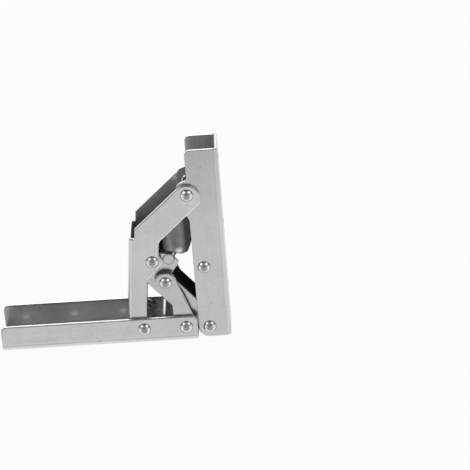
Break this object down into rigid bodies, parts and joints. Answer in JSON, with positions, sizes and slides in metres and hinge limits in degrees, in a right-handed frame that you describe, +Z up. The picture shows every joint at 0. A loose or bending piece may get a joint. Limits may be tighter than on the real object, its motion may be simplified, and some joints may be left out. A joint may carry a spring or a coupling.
{
  "type": "drop leaf table bracket",
  "caption": "Folding right-angle bracket of riveted steel channels: a table rail and a leg rail joined by a cranked arm, a knee link, a latch link and a thumb release lever.",
  "frame": {"origin": "centre of the middle screw hole of the table rail, on the rail's screw-down face", "axes": "+X along the table rail towards the leg, +Y across the bracket, +Z up along the leg, away from the table rail's screw-down face"},
  "size_m": [0.132, 0.0302, 0.121],
  "materials": {
    "channel_steel": "bright satin pressed sheet",
    "link_steel": "bright satin pressed sheet",
    "rivet_steel": "bright domed heads",
    "spring_steel": "bright wire"
  },
  "bodies": {
    "table_side": {"table_rail": "channel_steel", "arm_rivet_front": "rivet_steel", "arm_rivet_back": "rivet_steel", "link_rivet_front": "rivet_steel", "link_rivet_back": "rivet_steel"},
    "arm": {"main_arm": "channel_steel", "leg_rivet_front": "rivet_steel", "leg_rivet_back": "rivet_steel", "guide_stud_front": "rivet_steel", "guide_stud_back": "rivet_steel"},
    "leg_side": {"leg_rail": "channel_steel", "latch_rivet_front": "rivet_steel", "latch_rivet_back": "rivet_steel", "lever_pin": "rivet_steel"},
    "short_link": {"short_link_front": "link_steel", "short_link_back": "link_steel", "knee_rivet_front": "rivet_steel", "knee_rivet_back": "rivet_steel", "knee_spacer_front": "link_steel", "knee_spacer_back": "link_steel"},
    "latch": {"latch_link": "link_steel", "catch_pin": "rivet_steel"},
    "lever": {"release_lever": "link_steel", "lever_spring": "spring_steel"}
  },
  "joints": [
    {"name": "arm_fold", "type": "hinge", "parent": "table_side", "child": "arm", "pos_m": [0.0429, 0, 0.0093], "axis": [0, -1, 0], "range_deg": [0, 80]},
    {"name": "leg_turn", "type": "hinge", "parent": "arm", "child": "leg_side", "pos_m": [0.0736, 0, 0.0938], "axis": [0, -1, 0], "range_deg": [0, 10.01]},
    {"name": "short_link_swing", "type": "hinge", "parent": "table_side", "child": "short_link", "pos_m": [0.0671, 0, 0.0093], "axis": [0, -1, 0], "range_deg": [0, 42.7]},
    {"name": "latch_swing", "type": "hinge", "parent": "leg_side", "child": "latch", "pos_m": [0.0804, 0, 0.0067], "axis": [0, -1, 0], "range_deg": [0, 36.2]},
    {"name": "lever_press", "type": "hinge", "parent": "leg_side", "child": "lever", "pos_m": [0.0799, 0, 0.0461], "axis": [0, 1, 0], "range_deg": [0, 12], "stiffness_Nm_per_rad": 0.05, "springref_deg": -17.19}
  ],
  "couplings": [
    {"joint": "leg_turn", "follows": "arm_fold", "ratio": 0.125},
    {"joint": "short_link_swing", "follows": "arm_fold", "ratio": 0.53334},
    {"joint": "latch_swing", "follows": "arm_fold", "ratio": 0.45165}
  ]
}
